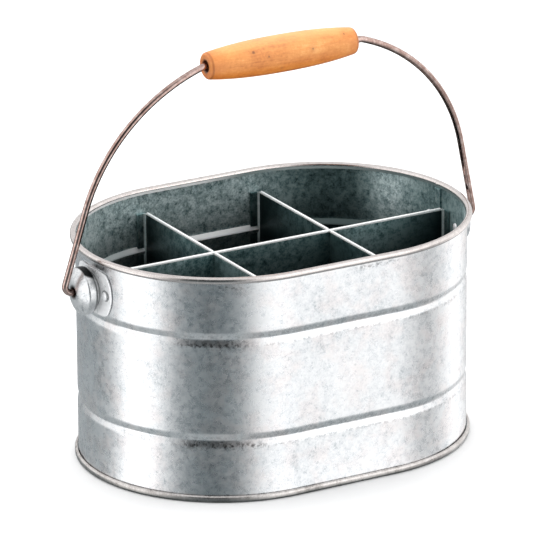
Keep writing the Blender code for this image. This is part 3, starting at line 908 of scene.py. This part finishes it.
def build_lock_seam():
    """The folded strip of the lock seam, following the grooves down the inside of the wall."""
    low = FLOOR_HEIGHT + SHEET / 2 + GAP
    high = BODY_HEIGHT - 2 * CURL_RADIUS - CURL_LEAD / 2
    line = [(-SHEET / 2, low)] + groove(LOWER_GROOVE) + groove(UPPER_GROOVE)
    line += [(-SHEET / 2, high), (-SHEET / 2 - GAP, BODY_HEIGHT - 2 * CURL_RADIUS + GAP)]
    depth = LOCK_PROUD + SHEET / 2
    half = LOCK_WIDTH / 2
    bm = bmesh.new()
    rows = [
        [(WALL_RADIUS + d - depth / 2, half * (k / 2 - 1), z) for k in range(5)] for d, z in line
    ]
    skin(bm, rows, closed_rows=False)
    seam = add_mesh("lock_seam", bm, [ZINC_INSIDE_SHADED, ZINC_DIVIDER_SHADED])
    thicken(seam, depth)
    round_edges(seam, LOCK_ROUNDING, 50)
    apply_modifiers(seam)
    # The strip's sides take the dividers' darker zinc: painted shade along both its edges
    for face in seam.data.polygons:
        face.material_index = 1 if abs(face.normal.y) + abs(face.normal.z) > 0.5 else 0
    at_end = Matrix.Translation((HALF_STRAIGHT, 0, 0))
    seam.data.transform(at_end @ Matrix.Rotation(LOCK_TURN, 4, "Z"))
    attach(seam, "carrier")


def build_rim_wire():
    core = ring_round_wall(CURL_OFFSET, BODY_HEIGHT - CURL_RADIUS, CURL_RADIUS - SHEET - GAP, 12)
    rim = add_mesh("rim_core", core, [ZINC_RIM])
    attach(rim, "carrier")
    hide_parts("rim_wire")


# Bottom


def build_pan():
    """The bottom sheet, from the roll of its seam over the wall's foot to the raised floor."""
    inner = -SHEET - GAP - SHEET / 2
    outer = HOOK_REACH + GAP + SHEET / 2
    top = SEAM_HEIGHT - SHEET / 2
    low = SHEET / 2 + SEAM_BEND
    lip = SHEET / 2 + GAP
    roll = outer - lip
    profile = (
        arc((lip, top - roll), roll, math.pi / 2, 0, 10)
        + arc((lip, SHEET / 2 + roll), roll, 0, -math.pi / 2, 10)
        + arc((inner + SEAM_BEND, low), SEAM_BEND, -math.pi / 2, -math.pi, 6)
        + arc((inner - FLOOR_BEND, FLOOR_HEIGHT - FLOOR_BEND), FLOOR_BEND, 0, math.pi / 2, 8)
    )
    bm = sweep_oval(profile)
    rim = [
        edge
        for edge in bm.edges
        if edge.is_boundary and all(abs(v.co.z - FLOOR_HEIGHT) < MERGE for v in edge.verts)
    ]
    bmesh.ops.contextual_create(bm, geom=rim)
    pan = add_mesh("pan", bm, [ZINC_BASE])
    thicken(pan, SHEET)
    apply_modifiers(pan)
    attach(pan, "carrier")
    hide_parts("base_pan")


# Dividers


# The solids' wall has this many flat facets round an end, and a divider's flange keeps clear of them
SOLID_END_FACETS = 18
FACET_SHARE = math.cos(math.pi / SOLID_END_FACETS / 2)
SEAT_RADIUS = (WALL_RADIUS - SHEET - GAP) * FACET_SHARE - SHEET / 2


def seat_y(x):
    """Where a cross divider's middle line ends, at x."""
    beyond = max(0, abs(x) - HALF_STRAIGHT)
    return math.sqrt(SEAT_RADIUS**2 - beyond**2)


def seat_x(y):
    """Where the long divider's middle line ends, at y."""
    return HALF_STRAIGHT + math.sqrt(SEAT_RADIUS**2 - y**2)


def cutter(name, bm):
    obj = add_mesh(name, bm, [])
    obj.hide_render = True
    return obj


def slot_box(x, low, high, back=0.0):
    """A cutter for a slot where two dividers cross, wider at the back by a hem's thickness."""
    bm = bmesh.new()
    bmesh.ops.create_cube(bm, size=1)
    width = SHEET + 2 * SLOT_CLEARANCE
    bmesh.ops.scale(bm, vec=(width, width + back, high - low), verts=bm.verts)
    bmesh.ops.translate(bm, vec=(x, back / 2, (low + high) / 2), verts=bm.verts)
    return cutter("slot_cutter", bm)


def bead_ring(height):
    """A ring round the wall whose inner side clears the dividers from a groove's bead."""
    peak = GROOVE_DEPTH + SHEET / 2 + 2 * GAP
    edge = SHEET / 2 + GAP
    middle = ((GROOVE_WIDTH / 2) ** 2 + edge**2 - peak**2) / (2 * (peak - edge))
    return cutter("bead_cutter", ring_round_wall(middle - SHEET / 2, height, middle + peak, 32))


def on_bend(normal, along):
    """Whether a face's normal lies between a divider's side and its flange."""
    share = abs(normal.to_2d().dot(along))
    return 0.15 < share < 0.985


def build_divider(name, node_name, plan, cutters, hem_side):
    """An upright sheet with a flange at each end and a hem folded over along its top edge."""
    low = FLOOR_HEIGHT + SHEET / 2 + GAP
    fold = (SHEET + HEM_GAP) / 2
    top = DIVIDER_HEIGHT - SHEET / 2 - fold
    path = filleted(plan, [DIVIDER_BEND] * 2, [BEND_STEPS] * 2)
    start, end = Vector(plan[1]), Vector(plan[2])
    along = (end - start).normalized()
    straight = [start + along * HEM_INSET, end - along * HEM_INSET]
    bent = BEND_STEPS + 2
    path = path[:bent] + [tuple(point) for point in straight] + path[bent:]
    bm = bmesh.new()
    rows = [[(x, y, z) for x, y in path] for z in (low, top - HEM_BRIGHT, top)]
    grid = skin(bm, rows, closed_rows=False)
    edge = grid[-1][bent : bent + 2]
    hem = arc((fold, top), fold, math.pi, 0, 8) + [(2 * fold, top - HEM_DEPTH)]
    for across, height in hem[1:]:
        shift = Vector(hem_side) * across
        row = [bm.verts.new((*(point + shift), height)) for point in straight]
        bm.faces.new((edge[0], edge[1], row[1], row[0]))
        edge = row
    divider = add_mesh(name, bm, [ZINC_DIVIDER_SHADED, ZINC_EDGE_HIGHLIGHT, ZINC_BEND_PAINTED])
    thicken(divider, SHEET)
    for tool in cutters:
        cut = divider.modifiers.new("cut", "BOOLEAN")
        cut.operation = "DIFFERENCE"
        cut.object = tool
    round_edges(divider, DIVIDER_ROUNDING, 60)
    apply_modifiers(divider, 40)
    halfway = (start + end) / 2
    hem_half = (end - start).length / 2 - HEM_INSET / 2
    for face in divider.data.polygons:
        place = face.center.to_2d()
        on_hem = abs((place - halfway).dot(along)) < hem_half
        # The hem's top strip takes a painted highlight
        if face.center.z > top - HEM_BRIGHT and on_hem:
            face.material_index = EDGE
        # The folds to the flanges take a painted highlight
        to_corner = min((corner - place).length for corner in (start, end))
        upright = abs(face.normal.z) < 0.3
        if to_corner < BEND_REACH and upright and on_bend(face.normal, along):
            face.material_index = BEND
    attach(divider, "carrier")
    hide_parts(node_name)


def build_dividers():
    """Three dividers, slotted into each other at half height: the long one from below."""
    low = FLOOR_HEIGHT + SHEET / 2
    middle = (low + GAP + DIVIDER_HEIGHT) / 2
    beads = [bead_ring(LOWER_GROOVE), bead_ring(UPPER_GROOVE)]
    upper_slots = []
    lower_slots = []
    for side, x in (("left", -DIVIDER_SPACING / 2), ("right", DIVIDER_SPACING / 2)):
        upper = slot_box(x, middle - GAP / 2, DIVIDER_HEIGHT + 0.002, SHEET + HEM_GAP)
        lower_slots.append(slot_box(x, low - 0.002, middle + GAP / 2))
        plan = [
            (x - DIVIDER_FLANGE, seat_y(x - DIVIDER_FLANGE)),
            (x, seat_y(x)),
            (x, -seat_y(x)),
            (x + DIVIDER_FLANGE, -seat_y(x + DIVIDER_FLANGE)),
        ]
        build_divider("divider_" + side, "cross_divider_" + side, plan, [upper] + beads, (1, 0))
        upper_slots.append(upper)
    plan = [
        (-seat_x(DIVIDER_FLANGE), DIVIDER_FLANGE),
        (-seat_x(0), 0),
        (seat_x(0), 0),
        (seat_x(DIVIDER_FLANGE), -DIVIDER_FLANGE),
    ]
    build_divider("divider_long", "long_divider", plan, lower_slots + beads, (0, 1))
    for tool in beads + upper_slots + lower_slots:
        bpy.data.objects.remove(tool)


# Ears and rivets


def ear_rings():
    """Rings of an ear's middle surface: (share of the way to the plate's edge or None, radius
    or None, height over the wall, share of flatness)."""
    base = GAP + EAR_SHEET / 2
    neck = EAR_NECK_RADIUS - EAR_SHEET / 2
    top = EAR_DEPTH - EAR_SHEET / 2
    front = top - EAR_DOME_RISE
    under = front - EAR_CAP_THICKNESS + EAR_SHEET
    corner = EAR_CAP_RADIUS - EAR_SHEET / 2 - EAR_CAP_BEND
    lip = EYE_RADIUS + EYE_BEND
    plate = [(share, None, base, 0.0) for share in (1.0, 0.9, 0.7, 0.5, 0.3, 0.15, 0.0)]
    bend = EAR_FOOT_BEND
    foot = arc((neck + bend, base + bend), bend, -math.pi / 2, -math.pi, 6)
    foot_rings = [(None, r, h, (h - base) / (under - base)) for r, h in foot[1:]]
    bend = EAR_NECK_BEND
    flat = arc((neck + bend, under - bend), bend, math.pi, math.pi / 2, 5)
    bend = EAR_CAP_BEND
    flat += arc((corner, under + bend), bend, -math.pi / 2, 0, 8)
    flat += arc((corner, front - bend), bend, 0, math.pi / 3, 8)
    count = 12
    for k in range(1, count):
        share = 1 - k / count
        flat.append((lip + (corner - lip) * share, top - EAR_DOME_RISE * share**1.6))
    flat += arc((lip, top - EYE_BEND), EYE_BEND, math.pi / 2, math.pi, 5)
    return plate + foot_rings + [(None, r, h, 1.0) for r, h in flat]


def plate_edge(angle):
    """Distance from the ear's centre to its plate's edge, with the trimmed corners rounded."""
    sharpness = 14
    circle = (1 / EAR_PLATE_RADIUS) ** sharpness
    flat = (abs(math.sin(angle)) / EAR_PLATE_HALF) ** sharpness
    return (circle + flat) ** (-1 / sharpness)


def build_ear(end, side):
    """An ear whose plate follows the wall and whose neck and cap stand straight out."""
    steps = 120
    foot_radius = EAR_NECK_RADIUS - EAR_SHEET / 2 + EAR_FOOT_BEND
    rows = []
    for share, radius, height, flat in ear_rings():
        row = []
        for k in range(steps):
            angle = 2 * math.pi * k / steps
            if radius is None:
                reach = foot_radius + (plate_edge(angle) - foot_radius) * share
            else:
                reach = radius
            y = reach * math.cos(angle)
            z = reach * math.sin(angle)
            wall = math.sqrt(WALL_RADIUS**2 - y**2)
            seat = wall + (WALL_RADIUS - wall) * flat
            row.append((side * (HALF_STRAIGHT + seat + height), y, EAR_HEIGHT + z))
        rows.append(row)
    bm = bmesh.new()
    skin(bm, rows, closed_rows=False, closed_across=True)
    ear = add_mesh("ear_cap_" + end, bm, [ZINC_EAR])
    thicken(ear, EAR_SHEET)
    round_edges(ear, EAR_ROUNDING, 60)
    apply_modifiers(ear, 40)
    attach(ear, "carrier")
    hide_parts("ear_" + end)


def build_rivet(end, side, row_name, row):
    """A rivet with a domed head outside on the ear and another inside on the wall."""
    outer = 2 * GAP + EAR_SHEET
    inner = -SHEET - GAP
    steps = 12
    turns = [math.pi / 2 * k / steps for k in range(steps + 1)]
    radius, height = RIVET_HEAD_RADIUS, RIVET_HEAD_HEIGHT
    head = [(radius * math.sin(a), outer + height * math.cos(a) ** 0.9) for a in turns]
    tail = [(radius * math.cos(a), inner - height * math.sin(a)) for a in turns]
    profile = head + [(RIVET_SHANK_RADIUS, outer), (RIVET_SHANK_RADIUS, inner)] + tail
    name = "rivet_" + end + "_" + row_name
    rivet = add_mesh(name + "_head", turned(profile, 40, False), [ZINC_EAR])
    turn = math.asin(row * RIVET_SPACING / 2 / WALL_RADIUS)
    x = side * (HALF_STRAIGHT + WALL_RADIUS * math.cos(turn))
    place = Matrix.Translation((x, WALL_RADIUS * math.sin(turn), EAR_HEIGHT))
    out = Matrix.Rotation(side * turn, 4, "Z") @ Matrix.Rotation(side * math.pi / 2, 4, "Y")
    rivet.data.transform(place @ out)
    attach(rivet, "carrier")
    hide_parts(name)


# Bail and grip


def bail_frame():
    return Matrix.Translation((0, 0, EAR_HEIGHT)) @ Matrix.Rotation(BAIL_LEAN, 4, "X")


def bail_path():
    """The wire's (x, height) points in its own plane, from the left hook's tip to the right's."""
    end = BODY_LENGTH / 2
    hook = end + EAR_DEPTH + HOOK_GAP + HOOK_CENTRE
    inside = end + EAR_DEPTH - HOOK_DEPTH
    crown = (GRIP_LENGTH / 2 + GRIP_PLAY, CROWN_HEIGHT)
    lean = math.tan(LEG_LEAN)
    drop = math.tan(SHOULDER_LEAN)
    shoulder_x = (hook - lean * (CROWN_HEIGHT + drop * crown[0])) / (1 - lean * drop)
    shoulder = (shoulder_x, CROWN_HEIGHT - drop * (shoulder_x - crown[0]))
    corners = [(inside, HOOK_TIP), (inside, 0), (hook, 0), shoulder, crown, (0, CROWN_HEIGHT)]
    half = filleted(corners, BAIL_BENDS, [10, 14, 48, 12])
    return half[:-1] + [(-x, h) for x, h in reversed(half[:-1])]


def build_bail():
    bm = wire([(x, 0, h) for x, h in bail_path()], WIRE_RADIUS, 28, 5)
    bail = add_mesh("bail", bm, [DRAWN_WIRE])
    bail.data.transform(bail_frame())
    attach(bail, "bail")
    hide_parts("bail_wire")


def grip_profile():
    """The grip's (radius, height) points: bore, flared mouth, rounded end and barrel."""
    half = GRIP_LENGTH / 2
    rounding = GRIP_ROUNDING
    mouth = GRIP_MOUTH
    corner = (GRIP_END_RADIUS - rounding, half - rounding)
    end_roll = arc(corner, rounding, math.pi / 2, math.pi / 6, 8)
    count = 64
    barrel = []
    for k in range(count + 1):
        share = 1 - 2 * k / count
        taper = (GRIP_RADIUS - GRIP_END_RADIUS) * abs(share) ** GRIP_TAPER
        barrel.append((GRIP_RADIUS - taper, (half - rounding) * share))
    upper = [(GRIP_BORE, half - 3 * mouth), (GRIP_BORE + 0.8 * mouth, half - mouth)]
    upper += [(GRIP_BORE + mouth, half - mouth / 4), (GRIP_BORE + 1.3 * mouth, half)] + end_roll
    lower = [(r, -z) for r, z in reversed(upper)]
    return upper + barrel + lower


def build_grip():
    place = bail_frame() @ Matrix.Translation((GRIP_SHIFT, 0, CROWN_HEIGHT))
    rows = [place.to_3x3().col[k] for k in range(3)]
    wood = turned_wood(place.translation, rows)
    grip = add_mesh("grip_barrel", turned(grip_profile(), 96, True), [wood], 40)
    grip.data.transform(place @ Matrix.Rotation(math.pi / 2, 4, "Y"))
    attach(grip, "grip")
    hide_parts("grip")


# Stage

# Greys round the studio, beside the carrier and above it, before build_world scales them up.
# Each is (share of a turn from the left by way of the front, grey).
STUDIO_SIDES = (
    (0.000, 0.84), (0.030, 0.58), (0.055, 0.25), (0.090, 0.11),
    (0.150, 0.070), (0.190, 0.092), (0.220, 0.21), (0.250, 0.54),
    (0.290, 0.72), (0.335, 0.63), (0.370, 0.42), (0.405, 0.29),
    (0.440, 0.30), (0.480, 0.52), (0.530, 0.74), (0.590, 0.45),
    (0.660, 0.26), (0.745, 0.20), (0.820, 0.19), (0.870, 0.17),
    (0.905, 0.27), (0.940, 0.78), (0.975, 0.92), (1.000, 0.84),
)
STUDIO_SKY = (
    (0.03, 0.72), (0.09, 0.02), (0.20, 0.02), (0.26, 0.72),
    (0.31, 0.97), (0.36, 0.97), (0.42, 0.72), (0.52, 0.72),
    (0.62, 0.50), (0.74, 0.50), (0.86, 0.72),
)
FLOOR_RADIUS = 30

# The fitted camera. Its distance and its aim are in half widths of the body, and its focal
# length is in pixels of the square photograph.
CAMERA_AZIMUTH = math.radians(-29.54)
CAMERA_ELEVATION = math.radians(19.56)
CAMERA_ROLL = math.radians(-0.358)
CAMERA_DISTANCE = 40
CAMERA_AIM_HEIGHT = 0.75
CAMERA_AIM_LEFT = 0.0178
CAMERA_AIM_UP = 0.4504
FOCAL_PIXELS = 5829
PHOTO_PIXELS = 540


def build_floor():
    bm = bmesh.new()
    bmesh.ops.create_circle(bm, cap_ends=True, segments=64, radius=FLOOR_RADIUS)
    floor = add_mesh("floor", bm, [])
    material, _, shader = new_material("pale_floor")
    shader.inputs["Base Color"].default_value = (0.87, 0.87, 0.87, 1.0)
    shader.inputs["Roughness"].default_value = 0.9
    shader.inputs["Specular IOR Level"].default_value = 0.1
    floor.data.materials.append(material)
    floor.visible_glossy = False


def cool_grey(stops):
    """Greys for a ramp, bluer where they are dark."""
    greys = []
    for place, value in stops:
        cool = max(0.0, 0.30 - value)
        greys.append((place, (value * (1 - 0.75 * cool), value, value * (1 + 0.3 * cool))))
    return greys


def build_world():
    """A soft studio all round: bright sides, a dimmer strip at the camera's side, dark below."""
    world = bpy.data.worlds.new("studio")
    bpy.context.scene.world = world
    world.use_nodes = True
    tree = world.node_tree
    direction = node(tree, "TexCoord").outputs["Generated"]
    x, y, z = node(tree, "SeparateXYZ", {0: direction}).outputs
    share = remap(tree, math_node(tree, "ARCTAN2", y, x), -math.pi, math.pi)
    around = ramp(tree, share, cool_grey(STUDIO_SIDES))
    colour = blend(tree, 1.0, around, (2.0, 2.0, 2.0), "MULTIPLY")
    colour = blend(tree, remap(tree, z, -0.42, -0.62), colour, (0.40, 0.43, 0.44))
    sky = ramp(tree, share, cool_grey(STUDIO_SKY))
    sky = blend(tree, 1.0, sky, (1.8, 1.8, 1.8), "MULTIPLY")
    sky = blend(tree, remap(tree, z, 0.66, 0.92), sky, (0.96, 0.97, 0.98))
    colour = blend(tree, remap(tree, z, -0.14, 0.06), colour, sky)
    straight = node(tree, "LightPath").outputs["Is Camera Ray"]
    colour = blend(tree, straight, colour, (1.0, 1.0, 1.0))
    background = tree.nodes["Background"]
    tree.links.new(colour, background.inputs["Color"])
    background.inputs["Strength"].default_value = 1.0


def area_light(name, location, target, size, power):
    data = bpy.data.lights.new(name, "AREA")
    data.shape = "RECTANGLE"
    data.size, data.size_y = size
    data.energy = power
    light = bpy.data.objects.new(name, data)
    bpy.context.scene.collection.objects.link(light)
    light.location = location
    light.visible_glossy = False
    light.rotation_euler = (Vector(target) - Vector(location)).to_track_quat("-Z", "Y").to_euler()


def build_camera():
    data = bpy.data.cameras.new("camera")
    data.sensor_width = 36
    data.lens = FOCAL_PIXELS / PHOTO_PIXELS * data.sensor_width
    data.clip_end = 100
    camera = bpy.data.objects.new("camera", data)
    bpy.context.scene.collection.objects.link(camera)
    centre = Matrix.Translation((0, 0, CAMERA_AIM_HEIGHT * WALL_RADIUS))
    tilt = Matrix.Rotation(math.pi / 2 - CAMERA_ELEVATION, 4, "X")
    turn = Matrix.Rotation(CAMERA_AZIMUTH, 4, "Z") @ tilt @ Matrix.Rotation(CAMERA_ROLL, 4, "Z")
    back_off = Vector((-CAMERA_AIM_LEFT, CAMERA_AIM_UP, CAMERA_DISTANCE)) * WALL_RADIUS
    camera.matrix_world = centre @ turn @ Matrix.Translation(back_off)
    bpy.context.scene.camera = camera


build_wall()
build_lock_seam()
build_rim_wire()
build_pan()
build_dividers()
for end, side in (("left", -1), ("right", 1)):
    build_ear(end, side)
    for row_name, row in (("front", -1), ("back", 1)):
        build_rivet(end, side, row_name, row)
build_bail()
build_grip()

build_floor()
build_world()
area_light("left_window", (-1.3, -0.5, 1.1), (0, 0, 0.08), (1.2, 1.0), 3)
area_light("right_window", (0.9, -1.5, 1.2), (0, 0, 0.08), (1.2, 1.0), 3)
area_light("top_window", (0.1, 0.35, 1.8), (0, 0, 0.05), (1.4, 1.2), 26)
build_camera()

view = bpy.context.scene.view_settings
view.view_transform = "Standard"
view.look = "None"
